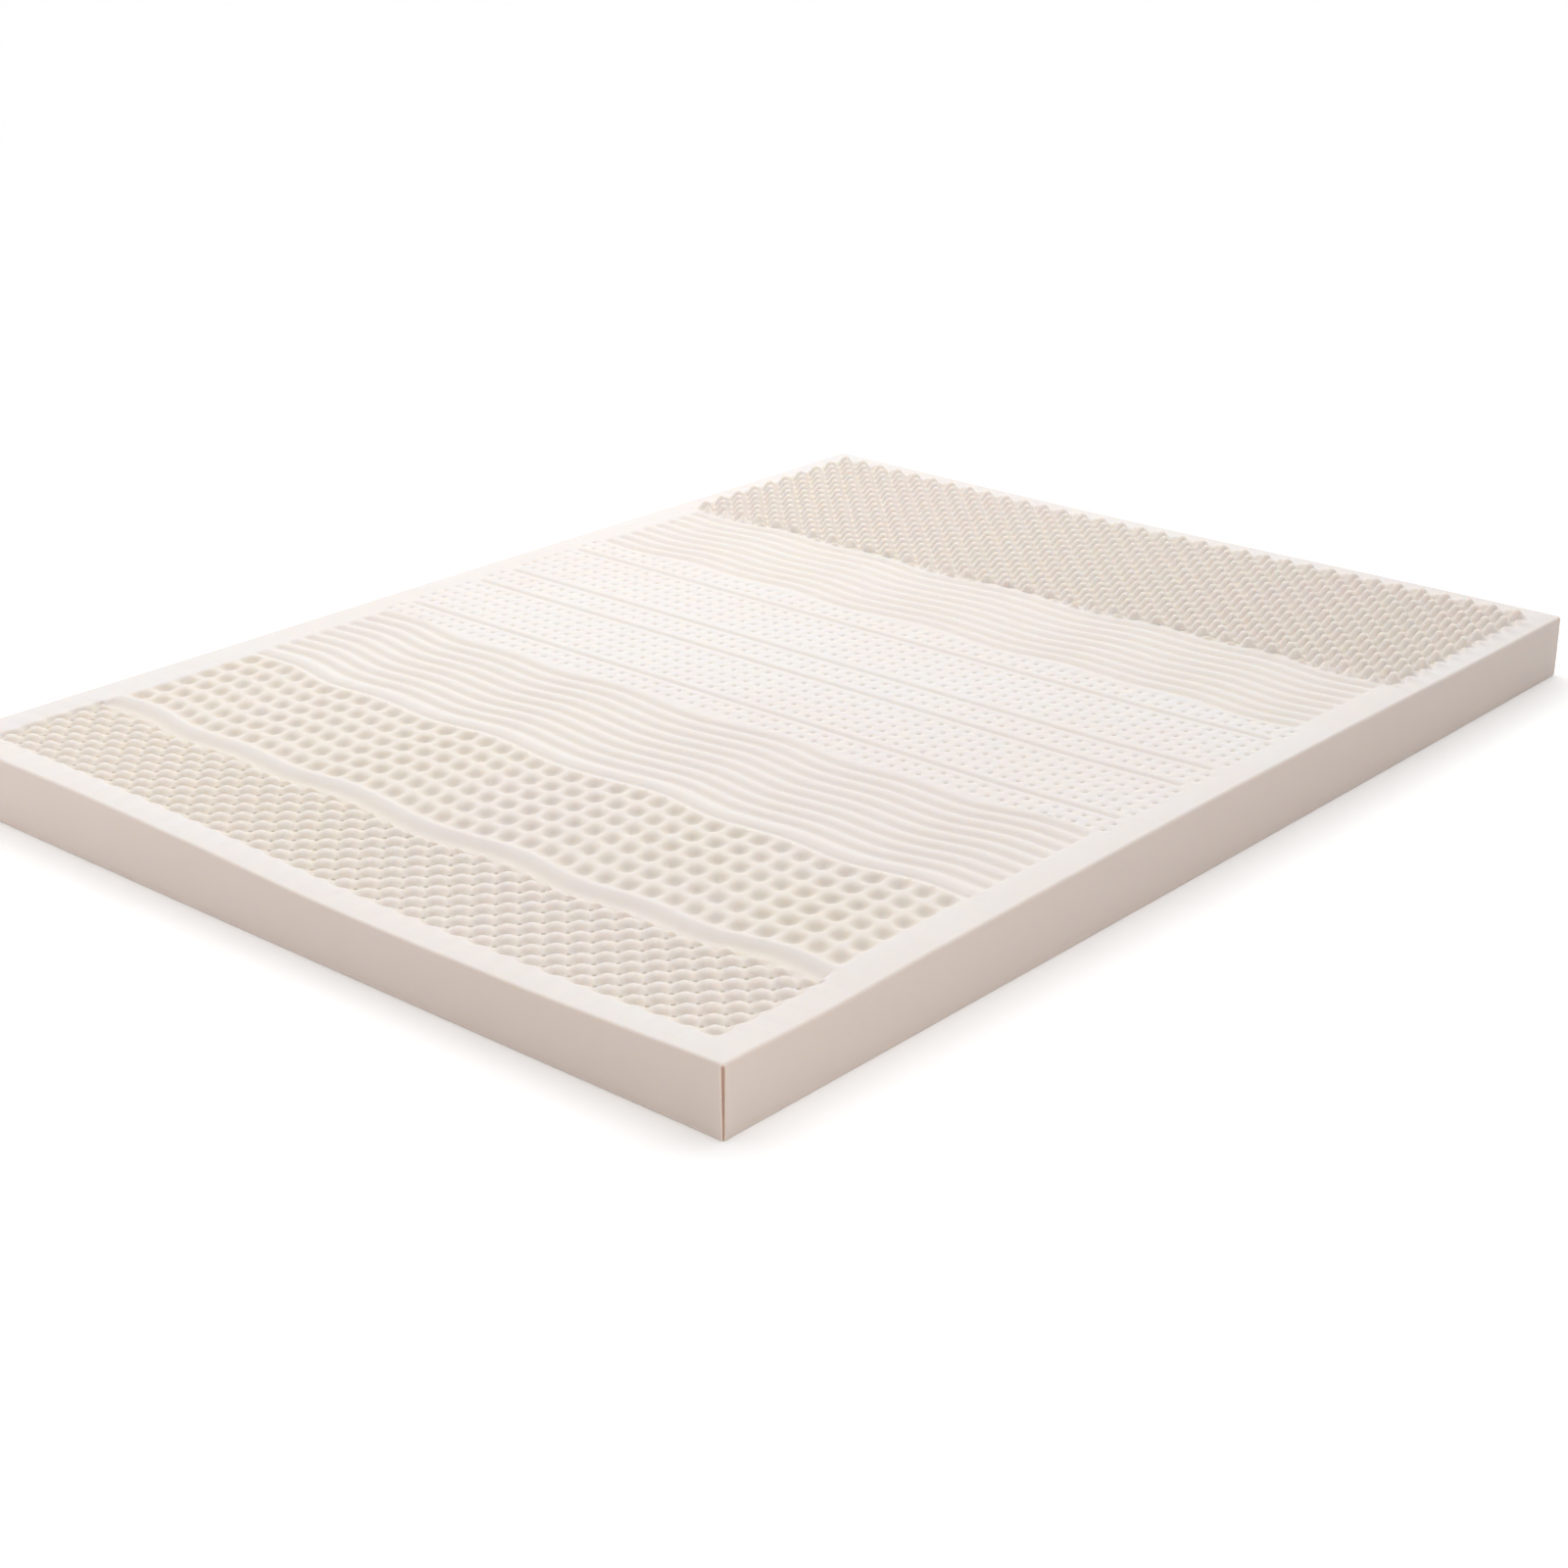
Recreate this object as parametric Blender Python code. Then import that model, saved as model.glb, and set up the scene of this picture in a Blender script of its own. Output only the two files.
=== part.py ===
# Latex mattress topper: one moulded foam slab, 1.5 m wide and 2 m long.
#
# The frame: origin under the middle of the slab, +Z up. The foot end is at -Y,
# the head end at +Y. A smooth rim runs round the top. Inside it lie the moulded
# comfort zones, which follow each other from foot to head:
#   foot nubs, a wide wavy channel, cups, a narrow wavy channel, wavy ribs, a flat
#   middle with four straight channels, wavy ribs again, and taller head nubs.
#
# Run with: blender --background --python part.py

import math
from collections import namedtuple

import bmesh
import bpy
from mathutils import Matrix

OBJECT_NAME = "mattress_topper"

# Overall sizes, in metres.
WIDTH = 1.500
LENGTH = 2.000
THICKNESS = 0.100

# The smooth rim round the patterned field.
SIDE_RIM = 0.050
FOOT_RIM = 0.048
HEAD_RIM = 0.032
EDGE_RADIUS = 0.005
EDGE_SEGMENTS = 2

# The mould's seam: a notch down each upright corner, deepest under the lip.
LIP_HEIGHT = 0.093
SEAM_DEPTH_TOP = 0.007
SEAM_DEPTH_FOOT = 0.001

# The sides are cut into lengths of about this size, so that they can sag.
SIDE_STEP = 0.125

FOAM_COLOUR = (0.86, 0.80, 0.71, 1.0)
FOAM_ROUGHNESS = 0.85

FIELD_HALF = WIDTH / 2 - SIDE_RIM
FOOT_LINE = -LENGTH / 2 + FOOT_RIM
HEAD_LINE = LENGTH / 2 - HEAD_RIM

# The wave that the wide and narrow channels, the cups and the ribs follow: its
# crests and troughs from the middle line outwards, the same on both sides.
WavePoint = namedtuple("WavePoint", "x offset")
WAVE = (
    WavePoint(0.000, -0.022),
    WavePoint(0.165, -0.006),
    WavePoint(0.280, -0.020),
    WavePoint(0.395, -0.011),
    WavePoint(0.495, -0.018),
    WavePoint(0.620, 0.000),
    WavePoint(0.700, -0.006),
)

# The zones from foot to head. start and end are the zone's edges along Y where
# the wave stands at zero; the wave columns say how much of it each edge takes.
# half is half its width, and its relief fades out over the length fade at the
# ends. low and high are measured from the rim's level. What lies between two
# zones is smooth foam.
Zone = namedtuple("Zone", "name form start end start_wave end_wave half fade columns rows low high")
ZONES = (
    Zone("foot_nubs", "nubs", FOOT_LINE, -0.762, 0, 1, FIELD_HALF, 0.0212, 66, 8, -0.010, 0.001),
    Zone("wide_channel", "channel", -0.757, -0.729, 1, 1, FIELD_HALF, 0.014, 28, 3, -0.005, 0.0),
    Zone("cups", "cups", -0.724, -0.482, 1, 1, FIELD_HALF, 0.027, 74, 12, -0.010, 0.0),
    Zone("narrow_channel", "channel", -0.475, -0.453, 1, 1, FIELD_HALF, 0.014, 28, 3, -0.004, 0.0),
    Zone("foot_ribs", "ribs", -0.449, -0.207, 1, 1, FIELD_HALF, 0.014, 28, 16, -0.006, 0.001),
    Zone("channel_1", "channel", -0.162, -0.150, 0, 0, FIELD_HALF, 0.014, 10, 2, -0.005, 0.0),
    Zone("channel_2", "channel", -0.014, -0.002, 0, 0, FIELD_HALF, 0.014, 10, 2, -0.005, 0.0),
    Zone("channel_3", "channel", 0.062, 0.074, 0, 0, FIELD_HALF, 0.014, 10, 2, -0.005, 0.0),
    Zone("channel_4", "channel", 0.210, 0.222, 0, 0, FIELD_HALF, 0.014, 10, 2, -0.005, 0.0),
    Zone("head_ribs", "ribs", 0.268, 0.510, -1, -1, FIELD_HALF, 0.014, 28, 16, -0.006, 0.001),
    Zone("head_nubs", "nubs", 0.525, HEAD_LINE, -1, 0, 0.719, 0.0211, 68, 20, -0.003, 0.013),
)

# Where the soft slab lies unevenly: the middle of each dip or swell, how far it
# reaches along X and Y, and how far the top is raised there.
Swell = namedtuple("Swell", "name x y reach_x reach_y rise")
SWELLS = (
    Swell("foot_right", 0.33, -1.00, 0.55, 0.45, -0.013),
    Swell("foot_left", -0.20, -1.00, 0.60, 0.45, -0.006),
    Swell("long_side", 0.75, 0.05, 0.28, 0.75, 0.005),
    Swell("head", -0.15, 0.75, 0.85, 0.65, -0.007),
)

SMALL = 1e-5


def clear_scene():
    for old in list(bpy.data.objects):
        bpy.data.objects.remove(old, do_unlink=True)


def wave(x):
    """Offset along Y of the wavy lines at x, eased between crest and trough."""
    across = min(abs(x), WAVE[-1].x)
    for near, far in zip(WAVE, WAVE[1:]):
        if across <= far.x:
            share = (across - near.x) / (far.x - near.x)
            ease = (1 - math.cos(math.pi * share)) / 2
            return near.offset + (far.offset - near.offset) * ease
    return WAVE[-1].offset


def unevenness(x, y):
    """How far the soft top is raised at (x, y), below zero where it has sunk."""
    raised = 0.0
    for swell in SWELLS:
        away = ((x - swell.x) / swell.reach_x) ** 2 + ((y - swell.y) / swell.reach_y) ** 2
        if away < 1:
            raised += swell.rise * (1 - away) ** 2
    return raised


def column_x(zone, column):
    """X of a zone's column: the first and the last are as wide as its fade."""
    if column == 0:
        return -zone.half
    if column == zone.columns:
        return zone.half
    return (zone.half - zone.fade) * (2 * (column - 1) / (zone.columns - 2) - 1)


def relief(zone, column, row):
    """Height above the rim's level of one crossing of the zone's grid."""
    if column in (0, zone.columns) or row in (0, zone.rows):
        return 0.0
    if zone.form == "nubs":
        return zone.high if (column + row) % 2 == 0 else zone.low
    if zone.form == "cups":
        return zone.low if column % 2 and row % 2 else zone.high
    if zone.form == "ribs":
        return zone.low if row % 2 else zone.high
    return zone.low


def add_zone(bm, zone):
    """Adds a zone as a grid and gives back its foot-side and head-side edges."""
    grid = bmesh.ops.create_grid(bm, x_segments=zone.columns, y_segments=zone.rows, size=1.0)
    foot_side = set()
    head_side = set()
    for vert in grid["verts"]:
        column = round((vert.co.x + 1) / 2 * zone.columns)
        row = round((vert.co.y + 1) / 2 * zone.rows)
        x = column_x(zone, column)
        start = zone.start + zone.start_wave * wave(x)
        end = zone.end + zone.end_wave * wave(x)
        vert.co = (x, start + (end - start) * row / zone.rows, THICKNESS + relief(zone, column, row))
        if row == 0:
            foot_side.add(vert)
        if row == zone.rows:
            head_side.add(vert)
    chains = []
    for side in (foot_side, head_side):
        edges = {edge for vert in side for edge in vert.link_edges}
        chains.append([edge for edge in edges if edge.verts[0] in side and edge.verts[1] in side])
    return chains


def add_field(bm):
    """The whole patterned field: every zone, and smooth foam bridged between."""
    previous = None
    for zone in ZONES:
        foot_side, head_side = add_zone(bm, zone)
        if previous:
            bmesh.ops.bridge_loops(bm, edges=previous + foot_side)
        previous = head_side


def cut_across(bm, normal, half, step):
    """Cuts the block by evenly spaced planes that stay inside its ends."""
    count = round(2 * half / step)
    for index in range(1, count):
        place = -half + 2 * half * index / count
        everything = bm.verts[:] + bm.edges[:] + bm.faces[:]
        point = [place * part for part in normal]
        bmesh.ops.bisect_plane(bm, geom=everything, dist=SMALL, plane_co=point, plane_no=normal)


def add_block(bm):
    """The slab's flat bottom, sides, seams and rounded edge, open at the top."""
    size = Matrix.Diagonal((WIDTH, LENGTH, THICKNESS, 1.0))
    bmesh.ops.create_cube(bm, size=1.0, matrix=Matrix.Translation((0, 0, THICKNESS / 2)) @ size)
    upright = [e for e in bm.edges if abs(e.verts[0].co.z - e.verts[1].co.z) > SMALL]
    round_edges(bm, upright)
    top = [e for e in bm.edges if min(v.co.z for v in e.verts) > THICKNESS - SMALL]
    round_edges(bm, top)

    everything = bm.verts[:] + bm.edges[:] + bm.faces[:]
    lip = (0, 0, LIP_HEIGHT)
    bmesh.ops.bisect_plane(bm, geom=everything, dist=SMALL, plane_co=lip, plane_no=(0, 0, 1))
    press_seams(bm)
    cut_across(bm, (1, 0, 0), WIDTH / 2, SIDE_STEP)
    cut_across(bm, (0, 1, 0), LENGTH / 2, SIDE_STEP)

    lid = [f for f in bm.faces if min(v.co.z for v in f.verts) > THICKNESS - SMALL]
    bmesh.ops.delete(bm, geom=lid, context="FACES")


def round_edges(bm, edges):
    bmesh.ops.bevel(
        bm,
        geom=edges,
        offset=EDGE_RADIUS,
        offset_type="OFFSET",
        segments=EDGE_SEGMENTS,
        profile=0.5,
        affect="EDGES",
    )


def press_seams(bm):
    """Pushes the middle line of each upright corner inwards, below the lip."""
    for vert in bm.verts:
        from_side = WIDTH / 2 - abs(vert.co.x)
        from_end = LENGTH / 2 - abs(vert.co.y)
        on_corner = from_side < EDGE_RADIUS / 2 and abs(from_side - from_end) < SMALL
        if on_corner and vert.co.z < LIP_HEIGHT - SMALL:
            share = vert.co.z / LIP_HEIGHT
            depth = SEAM_DEPTH_FOOT + (SEAM_DEPTH_TOP - SEAM_DEPTH_FOOT) * share
            vert.co.x -= math.copysign(depth, vert.co.x)
            vert.co.y -= math.copysign(depth, vert.co.y)


def join_rim(bm):
    """Fills the flat rim between the block's open edge and the field."""
    open_edges = [edge for edge in bm.edges if edge.is_boundary]
    bmesh.ops.triangle_fill(bm, use_beauty=True, use_dissolve=False, edges=open_edges)


def split_at_low_corners(bm):
    """Splits each four-sided face of the top through its lowest corner."""
    for face in list(bm.faces):
        if len(face.verts) != 4 or face.calc_center_median().z < THICKNESS / 2:
            continue
        corners = list(face.verts)
        lowest = min(range(4), key=lambda index: corners[index].co.z)
        bmesh.utils.face_split(face, corners[lowest], corners[(lowest + 2) % 4])


def settle(bm):
    """Moves each point by its share of how far the top above it is raised."""
    for vert in bm.verts:
        vert.co.z += unevenness(vert.co.x, vert.co.y) * vert.co.z / THICKNESS


def foam_material():
    material = bpy.data.materials.new("latex_foam")
    material.use_nodes = True
    shader = material.node_tree.nodes["Principled BSDF"]
    shader.inputs["Base Color"].default_value = FOAM_COLOUR
    shader.inputs["Roughness"].default_value = FOAM_ROUGHNESS
    shader.inputs["Metallic"].default_value = 0.0
    return material


def build_slab(collection):
    bm = bmesh.new()
    add_block(bm)
    add_field(bm)
    join_rim(bm)
    split_at_low_corners(bm)
    settle(bm)
    bmesh.ops.recalc_face_normals(bm, faces=bm.faces[:])
    mesh = bpy.data.meshes.new("latex_slab")
    bm.to_mesh(mesh)
    bm.free()
    slab = bpy.data.objects.new("latex_slab", mesh)
    slab.data.materials.append(foam_material())
    collection.objects.link(slab)


def main():
    clear_scene()
    collection = bpy.data.collections.new(OBJECT_NAME)
    bpy.context.scene.collection.children.link(collection)
    build_slab(collection)


main()
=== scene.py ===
import math
import bmesh
import bpy
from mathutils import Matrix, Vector


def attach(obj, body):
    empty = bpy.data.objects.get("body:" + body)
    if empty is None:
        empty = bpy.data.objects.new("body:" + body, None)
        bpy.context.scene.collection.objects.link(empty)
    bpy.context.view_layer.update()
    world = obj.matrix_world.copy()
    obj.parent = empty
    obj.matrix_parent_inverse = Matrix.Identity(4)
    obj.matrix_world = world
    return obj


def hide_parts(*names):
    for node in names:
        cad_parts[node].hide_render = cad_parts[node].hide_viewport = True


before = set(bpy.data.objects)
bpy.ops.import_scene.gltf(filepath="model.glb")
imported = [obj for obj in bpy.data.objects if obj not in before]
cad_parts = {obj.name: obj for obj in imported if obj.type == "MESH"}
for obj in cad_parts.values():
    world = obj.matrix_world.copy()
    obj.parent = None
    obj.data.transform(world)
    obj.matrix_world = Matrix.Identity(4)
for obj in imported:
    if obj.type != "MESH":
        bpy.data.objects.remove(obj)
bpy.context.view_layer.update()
print("frame loaded:", list(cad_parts))

scene = bpy.context.scene


class Signal:
    # one socket of a node tree: an expression on signals adds its Math nodes
    def __init__(self, board, socket):
        self.board = board
        self.socket = socket

    def also(self, name):
        return Signal(self.board, self.socket.node.outputs[name])

    def maths(self, operation, *others):
        return self.board.maths(operation, self, *others)

    def __add__(self, other):
        return self.maths("ADD", other)

    def __radd__(self, other):
        return self.board.maths("ADD", other, self)

    def __sub__(self, other):
        return self.maths("SUBTRACT", other)

    def __rsub__(self, other):
        return self.board.maths("SUBTRACT", other, self)

    def __mul__(self, other):
        return self.maths("MULTIPLY", other)

    def __rmul__(self, other):
        return self.board.maths("MULTIPLY", other, self)

    def __truediv__(self, other):
        return self.maths("DIVIDE", other)

    def __pow__(self, other):
        return self.maths("POWER", other)

    def __lt__(self, other):
        return self.maths("LESS_THAN", other)

    def __abs__(self):
        return self.maths("ABSOLUTE")

    def cosine(self):
        return self.maths("COSINE")

    def atMost(self, other):
        return self.maths("MINIMUM", other)

    def atLeast(self, other):
        return self.maths("MAXIMUM", other)

    def eased(self, start, end):
        # 0 before start, 1 after end, smooth between them
        return self.board.node("ShaderNodeMapRange", {"interpolation_type": "SMOOTHSTEP"}, {
            "Value": self, "From Min": start, "From Max": end})

    def choose(self, zero, one):
        return zero + (one - zero) * self


class Board:
    # a node tree that nodes are put on
    def __init__(self, tree):
        self.tree = tree

    def node(self, kind, settings=None, values=None, output=0):
        made = self.tree.nodes.new(kind)
        for name, value in (settings or {}).items():
            setattr(made, name, value)
        for name, value in (values or {}).items():
            self.feed(made.inputs[name], value)
        return Signal(self, made.outputs[output]) if len(made.outputs) else None

    def feed(self, socket, value):
        if isinstance(value, Signal):
            self.tree.links.new(value.socket, socket)
        else:
            socket.default_value = value

    def maths(self, operation, *values):
        return self.node("ShaderNodeMath", {"operation": operation}, dict(enumerate(values)))

    def parts(self, vector):
        first = self.node("ShaderNodeSeparateXYZ", None, {0: vector})
        return first, first.also("Y")


slab = {
    "width": 1.500,
    "length": 2.000,
    "thickness": 0.100,
    "cornerRadius": 0.0055,   # of the upright corners, seen from above
    "seamTop": 0.0980,        # the corner seam fades in under this height
    "seamFull": 0.0940,
    "seamDepth": (0.0012, 0.0034),    # at its lower and at its upper end
    "seamReach": (0.0013, 0.0032),    # half its width, at its lower and at its upper end
    "seamBend": (0.5, 0.6),   # where its walls bend, as shares of that half width and of the depth
    "seamTint": (0.7, 1.0, 0.7),      # how strongly the brown painted shade shows, across the groove
    "sideBulge": 0.002,       # how far the middle of each side leans out near the floor
    "bulgePower": 1.3,        # how fast that dies away upwards
    "sideStep": 0.022,        # between the points along a side
    "skinDrop": 0.0035,       # this far below the rim the foam has the full darker, pinker painted shade of its sides
    "sharpAngle": 80,         # degrees
    # the outline from the flat rim down to the underside: how far inside, how high
    "outline": [
        (0.0045, 0.1000), (0.0027, 0.0996), (0.0012, 0.0986), (0.0003, 0.0971),
        (0.0, 0.0953), (0.0, 0.0920), (0.0, 0.0700), (0.0, 0.0400), (0.0, 0.0160),
        (0.0003, 0.0030), (0.0020, 0.0)],
}

# crests and troughs of the wave that the zones follow, from the middle line outwards: x, offset along Y
wavePoints = [
    (0.000, -0.022),
    (0.165, -0.006),
    (0.280, -0.020),
    (0.395, -0.011),
    (0.495, -0.018),
    (0.620, 0.000),
    (0.700, -0.006),
]

# where the soft foam has sunk or swelled: middle, reach along X and Y, rise
swells = [
    {"x": 0.33, "y": -1.00, "reachX": 0.55, "reachY": 0.45, "rise": -0.013},
    {"x": -0.05, "y": -1.00, "reachX": 0.42, "reachY": 0.45, "rise": -0.0068},
    {"x": 0.75, "y": -0.80, "reachX": 0.20, "reachY": 0.19, "rise": -0.0035},
    {"x": 0.75, "y": 0.05, "reachX": 0.28, "reachY": 0.75, "rise": 0.005},
    {"x": -0.15, "y": 0.75, "reachX": 0.85, "reachY": 0.65, "rise": -0.007},
]


def unevenness(x, y):
    raised = 0.0
    for swell in swells:
        away = ((x - swell["x"]) / swell["reachX"]) ** 2 + ((y - swell["y"]) / swell["reachY"]) ** 2
        if away < 1:
            raised += swell["rise"] * (1 - away) ** 2
    return raised


def waveAt(x):
    # offset along Y of the wavy lines at x, as a signal
    out = abs(x)
    total = wavePoints[0][1]
    for (near, before), (far, after) in zip(wavePoints, wavePoints[1:]):
        total = out.eased(near, far) * (after - before) + total
    return total


# low rounded crests that follow the wave: their line where the wave is zero, reach to each side, rise
crests = [
    {"line": -0.7275, "reach": 0.0080, "rise": 0.0012},
    {"line": -0.4570, "reach": 0.0085, "rise": 0.0013},
]


def crestsAt(place):
    return sum(bumpAt(place - crest["line"], crest["reach"]) * crest["rise"] for crest in crests)


def bumpAt(off, reach):
    # 1 in the middle, falling to 0 at reach on either side
    return ((abs(off / reach).atMost(1.0) * math.pi).cosine() + 1) * 0.5


ringSlack = 0.05          # on a ring's place, so that rounding doesn't miss the ring
rowSlack = 0.01           # the same for a row
hollowDepth = 0.010       # foam sunk this far has its full painted shade colour
hollowMost = 1.4          # the most that the painted shade attribute gets from depth alone
limitStrip = 0.003        # width of the last strip of nubs along their wavy limit
limitFade = 0.35          # share of the usual fade there
cupFade = (0.008, 0.006)  # how fast the cups begin at the ends and at the sides of their zone
stepShare = (0.20, 0.92)  # where a wavy channel's step starts and ends, as shares of its width
edgeColumns = 4           # close columns at each end of a channel or rib
edgeStep = 0.0035
lipSink = 0.0004          # how far the lip of a pin hole stands below the foam round it


def newZoneTree(name, whole, sizes):
    # whole and sizes name the tree's inputs: whole numbers and other numbers
    tree = bpy.data.node_groups.new(name, "GeometryNodeTree")
    tree.interface.new_socket("Geometry", in_out="OUTPUT", socket_type="NodeSocketGeometry")
    for label in whole:
        tree.interface.new_socket(label, in_out="INPUT", socket_type="NodeSocketInt")
    for label in sizes:
        tree.interface.new_socket(label, in_out="INPUT", socket_type="NodeSocketFloat")
    board = Board(tree)
    first = board.node("NodeGroupInput")
    return board, {label: first.also(label) for label in (*whole, *sizes)}


def layGrid(board, columns, rows, cuts, cutsAlong):
    # a flat grid, and each point's place on it, counted in cells from one corner
    def points(cells, parts):
        return board.node("FunctionNodeIntegerMath", {"operation": "MULTIPLY_ADD"}, {
            0: cells, 1: parts, 2: 1})

    sizes = {
        "Size X": 1.0, "Size Y": 1.0,
        "Vertices X": points(columns, cuts), "Vertices Y": points(rows, cutsAlong)}
    grid = board.node("GeometryNodeMeshGrid", None, sizes)
    x, y = board.parts(board.node("GeometryNodeInputPosition"))
    return grid, (x + 0.5) * columns, (y + 0.5) * rows


def cellPlace(nearestX, nearestY, across, along):
    # place inside the cell, from -1 to 1 each way, and the ring it lies on, from 0 to 1
    s = (across - nearestX) * 2
    t = (along - nearestY) * 2
    return s, t, abs(s).atLeast(abs(t))


def towards(x, y):
    # direction from the cell's middle, of length one but for the middle point itself
    length = (x * x + y * y).maths("SQRT") + 0.00001
    return x / length, y / length


def finishZone(board, grid, x, y, z, cream=0.0):
    # cream is how far the foam there goes towards the creamier painted shade colour of the hollows even
    # where it isn't sunk, as a tone over the whole zone
    top = z + slab["thickness"]
    place = board.node("ShaderNodeCombineXYZ", None, {0: x, 1: y, 2: top})
    # painted shade: the deeper the foam is sunk, the larger its share of the darker, yellower hollow
    # colour
    sunk = (z * (-1 / hollowDepth)).atLeast(0).atMost(hollowMost) + cream
    noted = board.node("GeometryNodeStoreNamedAttribute", {"data_type": "FLOAT", "domain": "POINT"},
                       {"Geometry": grid, "Name": "hollowShadeAndCream", "Value": sunk})
    moved = board.node("GeometryNodeSetPosition", None, {"Geometry": noted, "Position": place})
    real = board.node("GeometryNodeRealizeInstances", None, {"Geometry": moved})
    dressed = board.node("GeometryNodeSetMaterial", None, {"Geometry": real, "Material": latexFoam})
    board.node("NodeGroupOutput", None, {0: dressed})
    return board.tree


def buildNubTree(cuts):
    # domes and pits by turns, like a draughtboard, with a pin hole in each pit. Line is where the rows
    # start, Side which way they run, Limit how far on their wavy edge lies, and Limit Drop how far the
    # foam steps down there
    board, size = newZoneTree("nubs", ["Columns", "Rows"], [
        "Pitch X", "Pitch Y", "Line", "Side", "Limit", "Limit Drop", "Low", "High", "Reach", "Roundness",
        "Hole Radius", "Hole Depth", "Fade", "Cream"])
    grid, across, along = layGrid(board, size["Columns"], size["Rows"], cuts, cuts)
    nearestX = across.maths("ROUND")
    nearestY = along.maths("ROUND")
    s, t, ring = cellPlace(nearestX, nearestY, across, along)
    pit = (nearestX + nearestY).maths("FLOORED_MODULO", 2.0)
    dirX, dirY = towards(s * size["Pitch X"], t * size["Pitch Y"])

    # the points next to a pit's middle gather on the lip of its pin hole
    atHole = (ring < 2 / cuts + ringSlack) * pit
    s = atHole.choose(s, dirX * size["Hole Radius"] * 2 / size["Pitch X"])
    t = atHole.choose(t, dirY * size["Hole Radius"] * 2 / size["Pitch Y"])
    half = size["Columns"] * size["Pitch X"] * 0.5
    x = (nearestX + s * 0.5) * size["Pitch X"] - half
    run = (nearestY + t * 0.5) * size["Pitch Y"]

    # how far the nearest dome's middle is, squared: 0.5 between two domes and 1 in a pit
    longer = abs(s).atLeast(abs(t)) * 0.5
    shorter = abs(s).atMost(abs(t)) * 0.5
    longer = pit.choose(longer, 1 - longer)
    off = longer * longer + shorter * shorter
    risen = (1 - (off / size["Reach"]).atMost(1.0)) ** size["Roundness"]
    dome = size["Low"] + (size["High"] - size["Low"]) * risen
    hole = (ring < ringSlack) * pit * size["Hole Depth"]

    # the last points are drawn in, or out, to a narrow strip along the wavy limit
    end = size["Rows"] * size["Pitch Y"]
    limit = waveAt(x) + size["Limit"]
    keep = limit.atMost(end) - limitStrip
    run = run.atMost(keep) + (run - keep).atLeast(0) * (limit - keep) / (end - keep)

    framed = (half - abs(x)).eased(0.0, size["Fade"]) * run.eased(0.0, size["Fade"])
    shown = framed * (limit - run).eased(0.0, size["Fade"] * limitFade)
    z = (dome - hole) * shown - size["Limit Drop"] * (framed - shown)
    return finishZone(board, grid, x, size["Line"] + size["Side"] * run, z, framed * size["Cream"])


def buildCupTree(cuts):
    # round hollows with rounded lips, highest where four cups meet. Saddle is the share of the depth
    # that is left between two neighbours
    board, size = newZoneTree("cups", ["Columns", "Rows"], [
        "Pitch X", "Pitch Y", "Start", "Depth", "Saddle", "Fullness", "Cream"])
    grid, across, along = layGrid(board, size["Columns"], size["Rows"], cuts, cuts)
    s, t = cellPlace(across.maths("FLOOR") + 0.5, along.maths("FLOOR") + 0.5, across, along)[:2]
    x = (across - size["Columns"] * 0.5) * size["Pitch X"]
    place = size["Start"] + along * size["Pitch Y"]
    near = bumpAt(s, 1.0) ** size["Fullness"]
    beside = bumpAt(t, 1.0) ** size["Fullness"]
    bowl = near * beside * (1 - size["Saddle"] * 2) + (near + beside) * size["Saddle"]
    ends = (size["Columns"] * size["Pitch X"] * 0.5 - abs(x)).eased(0.0, cupFade[0])
    rows = size["Rows"] * size["Pitch Y"]
    sides = (rows * 0.5 - abs(place - size["Start"] - rows * 0.5)).eased(0.0, cupFade[1])
    z = crestsAt(place) * ends - bowl * size["Depth"] * ends * sides
    return finishZone(board, grid, x, place + waveAt(x), z, ends * size["Cream"])


def buildRollTree(cuts):
    # troughs that run across the slab; close columns at both ends let them fade out. Trough Middle and
    # Trough Reach are shares of one roll's width
    board, size = newZoneTree("rolls", ["Columns", "Count"], [
        "Start", "End", "Half", "Wave Share", "Trough Depth", "Trough Middle", "Trough Reach",
        "Foot Drop", "Cream"])
    grid, across, along = layGrid(board, size["Columns"], size["Count"], 1, cuts)
    fromMiddle = across - size["Columns"] * 0.5
    inner = size["Columns"] * 0.5 - edgeColumns
    out = abs(fromMiddle)
    wide = size["Half"] - edgeColumns * edgeStep
    away = out.atMost(inner) / inner * wide + (out - inner).atLeast(0) * edgeStep
    x = fromMiddle.maths("SIGN") * away
    place = size["Start"] + (size["End"] - size["Start"]) * along / size["Count"]
    phase = along.maths("FRACT")

    # a rounded trough, on foam that can step down towards its foot side
    trough = 1 - abs(phase - size["Trough Middle"]).eased(0.0, size["Trough Reach"])
    drop = 1 - (along / size["Count"]).eased(*stepShare)
    shown = (size["Half"] - edgeStep - abs(x)).eased(0.0, (edgeColumns - 1) * edgeStep)
    z = (crestsAt(place) - size["Trough Depth"] * trough - size["Foot Drop"] * drop) * shown
    return finishZone(board, grid, x, place + waveAt(x) * size["Wave Share"], z, shown * size["Cream"])


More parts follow.
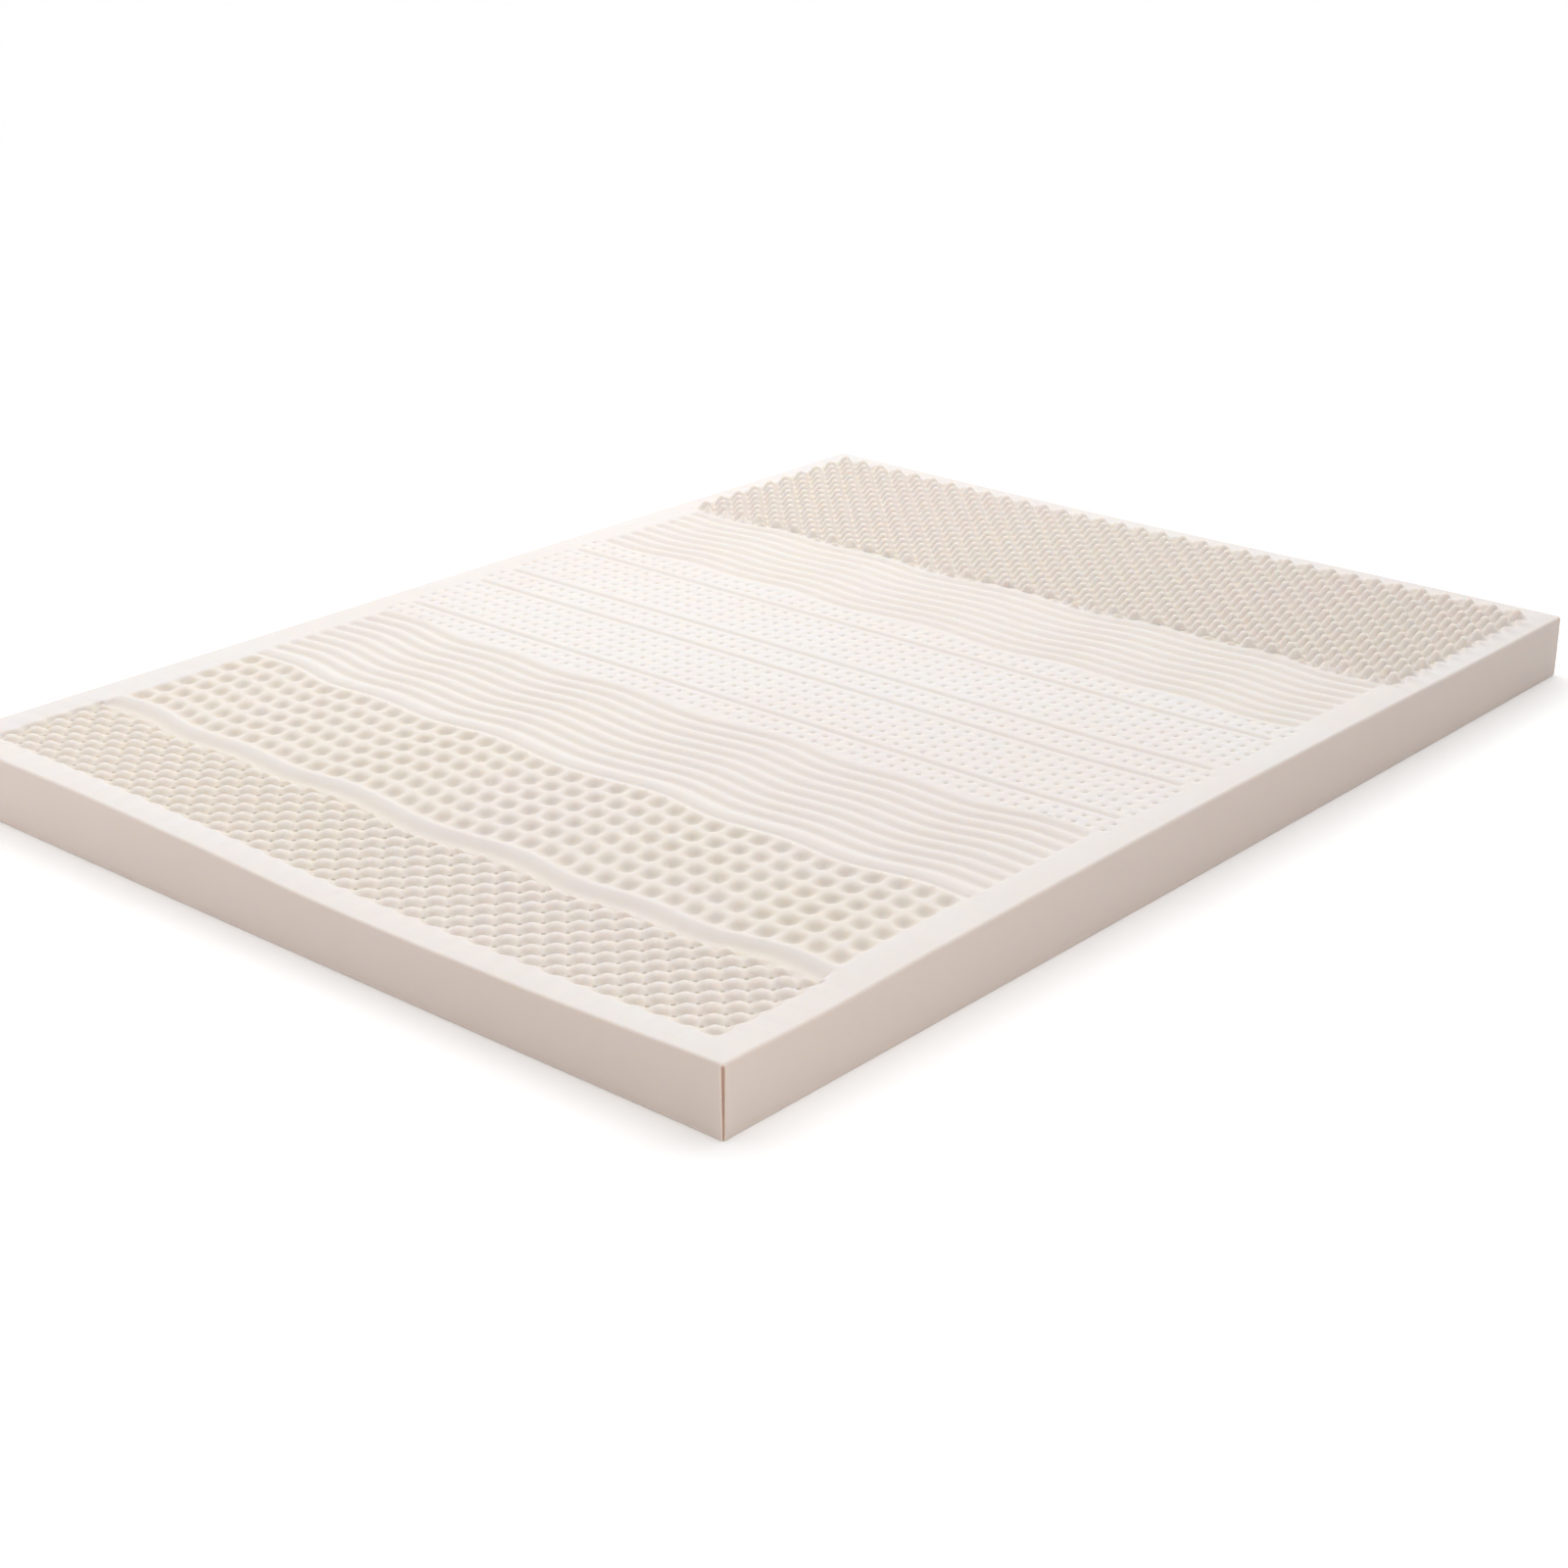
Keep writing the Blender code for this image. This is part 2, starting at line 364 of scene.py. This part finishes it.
def buildPinTree(cuts):
    # plain foam with a tapered pin hole in the middle of each cell. Foot Wave and Head Wave are how much
    # of the wave the two edges follow
    board, size = newZoneTree("pins", ["Columns", "Rows"], [
        "Pitch X", "Pitch Y", "Start", "Hole Radius", "Hole Depth",
        "Foot Edge", "Foot Wave", "Head Edge", "Head Wave"])
    grid, across, along = layGrid(board, size["Columns"], size["Rows"], cuts, cuts)
    nearestX = across.maths("FLOOR") + 0.5
    nearestY = along.maths("FLOOR") + 0.5
    s, t, ring = cellPlace(nearestX, nearestY, across, along)
    squareX = s * size["Pitch X"] * 0.5
    squareY = t * size["Pitch Y"] * 0.5
    dirX, dirY = towards(squareX, squareY)
    atHole = ring < 2 / cuts + ringSlack
    offX = atHole.choose(squareX, dirX * size["Hole Radius"])
    offY = atHole.choose(squareY, dirY * size["Hole Radius"])
    x = (nearestX - size["Columns"] * 0.5) * size["Pitch X"] + offX
    y = size["Start"] + nearestY * size["Pitch Y"] + offY
    z = atHole * -lipSink - (ring < ringSlack) * size["Hole Depth"]

    # a block that meets the ribs has a wavy edge there
    wave = waveAt(x)
    y = (along < rowSlack).choose(y, size["Foot Edge"] + size["Foot Wave"] * wave)
    y = (size["Rows"] - along < rowSlack).choose(y, size["Head Edge"] + size["Head Wave"] * wave)
    return finishZone(board, grid, x, y, z)


foamLook = {
    "top": (0.755, 0.720, 0.700, 1),
    # painted shade: the darker, yellower colour that sunk foam is given for the shade in its pits, cups
    # and troughs
    "hollowShadeAndCream": (0.74, 0.672, 0.590, 1),
    # painted shade: the darker, pinker colour the sides are given for the shade they stand in
    "skinAndSideShade": (0.625, 0.538, 0.488, 1),
    # painted shade: the brown of the corner seams' grooves
    "seam": (0.52, 0.35, 0.27, 1),
    "blush": (0.75, 0.685, 0.655, 1),
    "cream": (0.73, 0.655, 0.57, 1),
    "hollowPower": 1.2,       # how late the painted shade colour of the hollows sets in
    # noise scales, finer when larger, with the noise values where each colour sets in and its share
    "cloudScale": 3.0,        # of the broad blush
    "cloudEdge": (0.42, 0.62),
    "cloudShare": 0.5,
    "mottleScale": 38.0,      # of the creamy mottle
    "mottleStart": 0.45,
    "mottleShare": 0.5,
    "roughness": 0.72,
    "mottleRoughness": 0.12,  # how much the mottle varies it
    "skinSmoothness": 0.10,   # how much smoother the sides are
    "poreScale": 900.0,
    "poreBump": 0.0004,
    "poreStrength": 0.5,
    "mottleBump": 0.6,        # height of the mottle beside the pores' own
    "scatterWeight": 0.7,
    "scatterRadius": (0.012, 0.009, 0.006),
    "scatterScale": 0.8,
    "sheen": 0.15,
}


def makeFoamMaterial():
    material = bpy.data.materials.new("latexFoam")
    material.use_nodes = True
    shader = material.node_tree.nodes["Principled BSDF"]
    board = Board(material.node_tree)
    here = board.node("ShaderNodeTexCoord", None, None, "Object")

    def attribute(name):
        return board.node("ShaderNodeAttribute", {"attribute_name": name}, None, "Fac")

    def noise(scale, detail, roughness=0.5):
        return board.node("ShaderNodeTexNoise", None, {
            "Vector": here, "Scale": scale, "Detail": detail, "Roughness": roughness})

    def mix(share, first, second):
        return board.node("ShaderNodeMix", {"data_type": "RGBA"}, {0: share, 6: first, 7: second}, 2)

    hollowShadeAndCream = attribute("hollowShadeAndCream")
    skinAndSideShade = attribute("skinAndSideShade")
    cloud = noise(foamLook["cloudScale"], detail=3.0)
    mottle = noise(foamLook["mottleScale"], detail=4.0, roughness=0.6)
    pores = noise(foamLook["poreScale"], detail=2.0)

    # painted shade: sunk foam is mixed towards a darker, yellower colour the deeper it lies
    colour = mix(hollowShadeAndCream.atMost(1.0) ** foamLook["hollowPower"], foamLook["top"], foamLook["hollowShadeAndCream"])
    blushed = cloud.eased(*foamLook["cloudEdge"]) * foamLook["cloudShare"]
    colour = mix(blushed, colour, foamLook["blush"])
    creamy = (mottle - foamLook["mottleStart"]).atLeast(0) * foamLook["mottleShare"]
    colour = mix(creamy, colour, foamLook["cream"])
    # painted shade: the sides are mixed towards a darker, pinker colour
    colour = mix(skinAndSideShade, colour, foamLook["skinAndSideShade"])
    # painted shade: brown in the corner seams' grooves
    colour = mix(attribute("seam"), colour, foamLook["seam"])
    rough = (mottle - 0.5) * foamLook["mottleRoughness"] + foamLook["roughness"]
    rough = rough - skinAndSideShade * foamLook["skinSmoothness"]
    bump = board.node("ShaderNodeBump", None, {
        "Strength": foamLook["poreStrength"], "Distance": foamLook["poreBump"],
        "Height": pores + mottle * foamLook["mottleBump"]})
    for name, value in {
            "Base Color": colour,
            "Roughness": rough,
            "Normal": bump,
            "Subsurface Weight": foamLook["scatterWeight"],
            "Subsurface Radius": foamLook["scatterRadius"],
            "Subsurface Scale": foamLook["scatterScale"],
            "Sheen Weight": foamLook["sheen"]}.items():
        board.feed(shader.inputs[name], value)
    return material


latexFoam = makeFoamMaterial()
print("latex material made")

# each kind of zone: what builds its tree, and into how many parts a cell is cut across and along
kinds = {
    "fineNubs": (buildNubTree, 6, 6),
    "coarseNubs": (buildNubTree, 4, 4),
    "cups": (buildCupTree, 10, 10),
    "ribs": (buildRollTree, 1, 7),
    "wavyChannel": (buildRollTree, 1, 12),
    "straightChannel": (buildRollTree, 1, 8),
    "pins": (buildPinTree, 4, 4),
}
trees = {kind: build(cutsAlong) for kind, (build, cuts, cutsAlong) in kinds.items()}
print("zone trees built:", list(trees))

# inputs that several zones share
pins = {"Columns": 60, "Pitch X": 0.02366, "Hole Radius": 0.0045, "Hole Depth": 0.0080}
straightChannel = {
    "Columns": 40, "Count": 1, "Half": 0.700, "Wave Share": 0.0,
    "Trough Depth": 0.0032, "Trough Middle": 0.5, "Trough Reach": 0.48, "Foot Drop": 0.0, "Cream": 0.1}
ribs = {
    "Columns": 72, "Count": 8, "Half": 0.700,
    "Trough Depth": 0.0047, "Trough Middle": 0.5, "Trough Reach": 0.48, "Foot Drop": 0.0, "Cream": 0.30}


def pinBlock(name, firstRow, rows, pitch, edges=None):
    start = firstRow - 0.5 * pitch
    straight = {"Foot Edge": start, "Foot Wave": 0.0, "Head Edge": start + rows * pitch, "Head Wave": 0.0}
    return name, "pins", {
        "Rows": rows, "Pitch Y": pitch, "Start": start, **pins, **straight, **(edges or {})}


def channel(name, middle, width=0.019):
    return name, "straightChannel", {
        "Start": middle - width / 2, "End": middle + width / 2, **straightChannel}


# from foot to head: name, kind, inputs of its tree
zones = [
    ("footNubs", "fineNubs", {
        "Columns": 66, "Rows": 9, "Pitch X": 1.4 / 66, "Pitch Y": 0.0206,
        "Line": -0.955, "Side": 1.0, "Limit": 0.195, "Limit Drop": 0.0068,
        "Low": -0.0078, "High": 0.0008, "Reach": 0.47, "Roundness": 1.1,
        "Hole Radius": 0.0038, "Hole Depth": 0.010, "Fade": 0.009, "Cream": 0.44}),
    ("wideChannel", "wavyChannel", {
        "Columns": 100, "Count": 1, "Start": -0.7585, "End": -0.7262, "Half": 0.700, "Wave Share": 1.0,
        "Trough Depth": 0.0, "Trough Middle": 0.5, "Trough Reach": 0.5,
        "Foot Drop": 0.0068, "Cream": 0.20}),
    ("cups", "cups", {
        "Columns": 37, "Rows": 6, "Pitch X": 0.0374, "Pitch Y": 0.0403, "Start": -0.7242,
        "Depth": 0.0098, "Saddle": 0.17, "Fullness": 0.96, "Cream": 0.62}),
    ("narrowChannel", "wavyChannel", {
        "Columns": 80, "Count": 1, "Start": -0.4815, "End": -0.4520, "Half": 0.700, "Wave Share": 1.0,
        "Trough Depth": 0.0020, "Trough Middle": 0.30, "Trough Reach": 0.30,
        "Foot Drop": 0.0014, "Cream": 0.30}),
    ("footRibs", "ribs", {"Start": -0.450, "End": -0.2085, "Wave Share": 1.0, **ribs}),
    pinBlock("pinsA", -0.2025, 2, 0.0250, {"Foot Edge": -0.2080, "Foot Wave": 1.0, "Head Edge": -0.1675}),
    channel("channelA", -0.1565),
    pinBlock("pinsB", -0.1335, 5, 0.0256),
    channel("channelB", -0.0070),
    pinBlock("pinsC", 0.0195, 2, 0.0256),
    channel("channelC", 0.0680),
    pinBlock("pinsD", 0.0960, 5, 0.0256, {"Head Edge": 0.2095}),
    channel("channelD", 0.2195),
    pinBlock("pinsE", 0.2405, 2, 0.0250, {"Foot Edge": 0.2298, "Head Edge": 0.2715, "Head Wave": -1.0}),
    ("headRibs", "ribs", {"Start": 0.2725, "End": 0.5205, "Wave Share": -1.0, **ribs}),
    ("headNubs", "coarseNubs", {
        "Columns": 68, "Rows": 20, "Pitch X": 0.02115, "Pitch Y": 0.02185,
        "Line": 0.968, "Side": -1.0, "Limit": 0.443, "Limit Drop": 0.0,
        "Low": -0.0060, "High": 0.0150, "Reach": 0.52, "Roundness": 1.1,
        "Hole Radius": 0.0034, "Hole Depth": 0.008, "Fade": 0.012, "Cream": 0.50}),
]


def makeZone(name, tree, inputs):
    # runs the tree and gives its result back as a plain mesh
    carrier = bpy.data.objects.new(name, bpy.data.meshes.new(name))
    scene.collection.objects.link(carrier)
    modifier = carrier.modifiers.new(name, "NODES")
    modifier.node_group = tree
    for item in tree.interface.items_tree:
        if item.in_out == "INPUT":
            modifier[item.identifier] = inputs[item.name]
    solved = carrier.evaluated_get(bpy.context.evaluated_depsgraph_get())
    mesh = bpy.data.meshes.new_from_object(solved)
    bpy.data.objects.remove(carrier, do_unlink=True)
    return mesh


def zipUp(bm, near, far):
    # fills the strip between two rows of points that run the same way, by the shorter link each time
    i = j = 0
    while i < len(near) - 1 or j < len(far) - 1:
        nearNext = (near[i + 1].co - far[j].co).length if i < len(near) - 1 else math.inf
        farNext = (far[j + 1].co - near[i].co).length if j < len(far) - 1 else math.inf
        if nearNext <= farNext:
            bm.faces.new((near[i], near[i + 1], far[j]))
            i += 1
        else:
            bm.faces.new((near[i], far[j + 1], far[j]))
            j += 1


def addZones(bm):
    # every zone, the plain foam between them, and the field's four sides as rows of points
    left, right = [], []
    first = previous = None
    for name, kind, inputs in zones:
        cuts, cutsAlong = kinds[kind][1:]
        mesh = makeZone(name, trees[kind], inputs)
        columns = inputs["Columns"] * cuts + 1
        rows = inputs.get("Rows", inputs.get("Count")) * cutsAlong + 1
        offset = len(bm.verts)
        bm.from_mesh(mesh)
        bpy.data.meshes.remove(mesh)
        bm.verts.ensure_lookup_table()
        points = [[bm.verts[offset + c * rows + r] for r in range(rows)] for c in range(columns)]
        left += points[0]
        right += points[-1]
        low = [column[0] for column in points]
        high = [column[-1] for column in points]
        if low[0].co.y > high[0].co.y:    # its rows run from the head end
            low, high = high, low
        if previous:
            zipUp(bm, previous, low)
        first = first or low
        previous = high
        print("zone", name, columns, "x", rows)

    def byY(vert):
        return vert.co.y

    return first, sorted(right, key=byY), previous, sorted(left, key=byY)


def cornerPoints(height):
    # the nine points round a corner, as degrees from its middle and inward push, and how far its seam
    # is open
    share = min(1.0, height / slab["seamTop"])
    opened = min(1.0, max(0.0, (slab["seamTop"] - height) / (slab["seamTop"] - slab["seamFull"])))
    depth, reach = (
        low + (high - low) * share for low, high in (slab["seamDepth"], slab["seamReach"]))
    depth *= opened
    wide = math.degrees(reach / slab["cornerRadius"])
    bendTurn, bendPush = wide * slab["seamBend"][0], depth * slab["seamBend"][1]
    points = [
        (-45, 0), (-36, 0), (-wide, 0), (-bendTurn, bendPush), (0, depth),
        (bendTurn, bendPush), (wide, 0), (36, 0), (45, 0)]
    return points, opened


def ringAt(inset, height):
    # one closed ring of places round the slab, and where each corner's middle is in it
    halfX = slab["width"] / 2 - slab["cornerRadius"]
    halfY = slab["length"] / 2 - slab["cornerRadius"]
    radius = slab["cornerRadius"] - inset
    lean = slab["sideBulge"] * (1 - height / slab["thickness"]) ** slab["bulgePower"]
    points = cornerPoints(height)[0]
    corners = [(1, -1), (1, 1), (-1, 1), (-1, -1)]
    places, middles = [], []
    for (signX, signY), (nextX, nextY) in zip(corners, corners[1:] + corners[:1]):
        middles.append(len(places) + len(points) // 2)
        for turn, push in points:
            angle = math.atan2(signY, signX) + math.radians(turn)
            places.append((
                signX * (halfX - push) + radius * math.cos(angle),
                signY * (halfY - push) + radius * math.sin(angle)))
        outX, outY = (signX + nextX) / 2 * radius, (signY + nextY) / 2 * radius
        long = 2 * (halfY if outX else halfX)
        count = round(long / slab["sideStep"])
        for step in range(1, count):
            share = step / count
            places.append((
                (signX + (nextX - signX) * share) * halfX + outX,
                (signY + (nextY - signY) * share) * halfY + outY))
    ring = []
    for x, y in places:
        byX = 1 + lean / halfX * max(0.0, 1 - (y / halfY) ** 2)
        byY = 1 + lean / halfY * max(0.0, 1 - (x / halfX) ** 2)
        ring.append(Vector((x * byX, y * byY, height)))
    return ring, middles


def addSides(bm, skinAndSideShade, seam):
    # rounded edge, sides with their corner seams, and the flat underside
    rings = []
    for inset, height in slab["outline"]:
        places, middles = ringAt(inset, height)
        ring = [bm.verts.new(place) for place in places]
        opened = cornerPoints(height)[1]
        # painted shade: below the rim the sides get a darker, pinker colour; the same share makes them
        # smoother
        for vert in ring:
            vert[skinAndSideShade] = min(1.0, max(0.0, (slab["thickness"] - height) / slab["skinDrop"]))
        # painted shade: brown in the corner seam's groove, strongest in its middle
        for middle in middles:
            for step, tint in zip((-1, 0, 1), slab["seamTint"]):
                ring[middle + step][seam] = tint * opened
        if rings:
            for upper, upperNext, lower, lowerNext in zip(
                    rings[-1], rings[-1][1:] + rings[-1][:1], ring, ring[1:] + ring[:1]):
                bm.faces.new((upper, lower, lowerNext, upperNext))
        rings.append(ring)
    bm.faces.new(rings[-1])
    return rings[0], middles


def addRim(bm, field, ring, middles):
    # the smooth rim between the field's four sides and the rounded edge
    foot, right, head, left = field
    a, b, c, d = middles
    zipUp(bm, foot, ring[d:] + ring[:a + 1])
    zipUp(bm, right, ring[a:b + 1])
    zipUp(bm, head, ring[b:c + 1][::-1])
    zipUp(bm, left, ring[c:d + 1][::-1])


def makeTopper():
    bm = bmesh.new()
    # painted shade of the hollows, the sides and the corner seams is kept on the points
    bm.verts.layers.float.new("hollowShadeAndCream")
    skinAndSideShade = bm.verts.layers.float.new("skinAndSideShade")
    seam = bm.verts.layers.float.new("seam")
    field = addZones(bm)
    ring, middles = addSides(bm, skinAndSideShade, seam)
    addRim(bm, field, ring, middles)
    for vert in bm.verts:
        vert.co.z += unevenness(vert.co.x, vert.co.y) * vert.co.z / slab["thickness"]
    for face in bm.faces:
        face.material_index = 0       # the zones' faces come with the number of another slot
        face.smooth = True
    bmesh.ops.recalc_face_normals(bm, faces=bm.faces[:])
    openEdges = sum(1 for edge in bm.edges if not edge.is_manifold)
    mesh = bpy.data.meshes.new("latexTopper")
    bm.to_mesh(mesh)
    bm.free()
    mesh.materials.append(latexFoam)
    mesh.set_sharp_from_angle(angle=math.radians(slab["sharpAngle"]))
    mesh.calc_loop_triangles()
    print("topper:", len(mesh.loop_triangles), "triangles,", openEdges, "open edges")
    topper = bpy.data.objects.new("latexTopper", mesh)
    scene.collection.objects.link(topper)
    return topper


topper = makeTopper()
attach(topper, "root")
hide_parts("latex_slab")


studio = {
    "floorHalf": 40.0,
    "floorColour": (0.98, 0.98, 0.98, 1),
    "floorRoughness": 0.9,
    "floorShine": 0.1,
    "floorGlow": 0.11,
    "glowColour": (1.0, 1.0, 1.0, 1),
    "skyColour": (1.0, 0.995, 0.99, 1),
    "horizonStrength": 1.05,
    "horizonBand": (0.06, 0.26),      # it fades out upwards between these sines of the height angle
    "skyStrength": 0.06,
    "sunStrength": 2.85,
    "sunSoftness": 100,       # degrees across
    "sunFrom": (-0.28, 0.50, 1.20),
    # soft boxes: place, what it faces, width, colour, watts
    "leftBox": ((-0.9, 0.6, 1.8), (-0.2, 0.25, 0.1), 1.6, (1.0, 0.99, 0.98), 13.0),
    "nearBox": ((2.55, -2.1, 0.7), (0.75, -0.8, 0.05), 1.0, (1.0, 0.94, 0.88), 14.5),
    "footBox": ((-1.0, -2.4, 0.7), (-0.5, -1.0, 0.05), 1.0, (1.0, 0.97, 0.95), 7.5),
}


def makeFloor():
    bm = bmesh.new()
    bmesh.ops.create_grid(bm, x_segments=1, y_segments=1, size=studio["floorHalf"])
    mesh = bpy.data.meshes.new("floor")
    bm.to_mesh(mesh)
    bm.free()
    material = bpy.data.materials.new("paleFloor")
    material.use_nodes = True
    shader = material.node_tree.nodes["Principled BSDF"]
    shader.inputs["Base Color"].default_value = studio["floorColour"]
    shader.inputs["Roughness"].default_value = studio["floorRoughness"]
    shader.inputs["Specular IOR Level"].default_value = studio["floorShine"]
    shader.inputs["Emission Color"].default_value = studio["glowColour"]
    shader.inputs["Emission Strength"].default_value = studio["floorGlow"]
    mesh.materials.append(material)
    floor = bpy.data.objects.new("floor", mesh)
    scene.collection.objects.link(floor)


def aim(thing, place, forward):
    thing.location = place
    thing.rotation_mode = "QUATERNION"
    thing.rotation_quaternion = Vector(forward).to_track_quat("-Z", "Y")


def makeBox(name):
    place, target, width, colour, watts = studio[name]
    light = bpy.data.lights.new(name, "AREA")
    light.shape = "SQUARE"
    light.size = width
    light.color = colour
    light.energy = watts
    box = bpy.data.objects.new(name, light)
    aim(box, place, Vector(target) - Vector(place))
    scene.collection.objects.link(box)


def makeWorld():
    # bright round the horizon, as a backdrop is, and dim overhead
    world = bpy.data.worlds.new("studio")
    world.use_nodes = True
    background = world.node_tree.nodes["Background"]
    board = Board(world.node_tree)
    direction = board.node("ShaderNodeTexCoord", None, None, "Generated")
    height = board.node("ShaderNodeSeparateXYZ", None, {0: direction}, "Z")
    overhead = height.eased(*studio["horizonBand"])
    strength = overhead.choose(studio["horizonStrength"], studio["skyStrength"])
    board.feed(background.inputs["Strength"], strength)
    background.inputs["Color"].default_value = studio["skyColour"]
    scene.world = world


def makeLights():
    sun = bpy.data.lights.new("softKey", "SUN")
    sun.energy = studio["sunStrength"]
    sun.angle = math.radians(studio["sunSoftness"])
    key = bpy.data.objects.new("softKey", sun)
    aim(key, (-3, 4, 5), -Vector(studio["sunFrom"]))      # only a sun's direction counts
    scene.collection.objects.link(key)
    for name in ("leftBox", "nearBox", "footBox"):
        makeBox(name)


cameraView = {
    "place": (2.5441, -2.9620, 1.5206),
    "heading": 41.004,        # degrees left of +Y
    "tilt": 22.323,           # degrees down
    "lens": 63.018,           # mm, as is the sensor's width
    "sensor": 36.0,
    "clipEnd": 200.0,
}


def makeCamera():
    heading = math.radians(cameraView["heading"])
    tilt = math.radians(cameraView["tilt"])
    camera = bpy.data.cameras.new("camera")
    camera.sensor_width = cameraView["sensor"]
    camera.lens = cameraView["lens"]
    camera.clip_end = cameraView["clipEnd"]
    carrier = bpy.data.objects.new("camera", camera)
    level = math.cos(tilt)
    forward = (-math.sin(heading) * level, math.cos(heading) * level, -math.sin(tilt))
    aim(carrier, cameraView["place"], forward)
    scene.collection.objects.link(carrier)
    scene.camera = carrier


makeFloor()
makeWorld()
makeLights()
makeCamera()
scene.view_settings.view_transform = "Standard"
print("floor, lights and camera made")
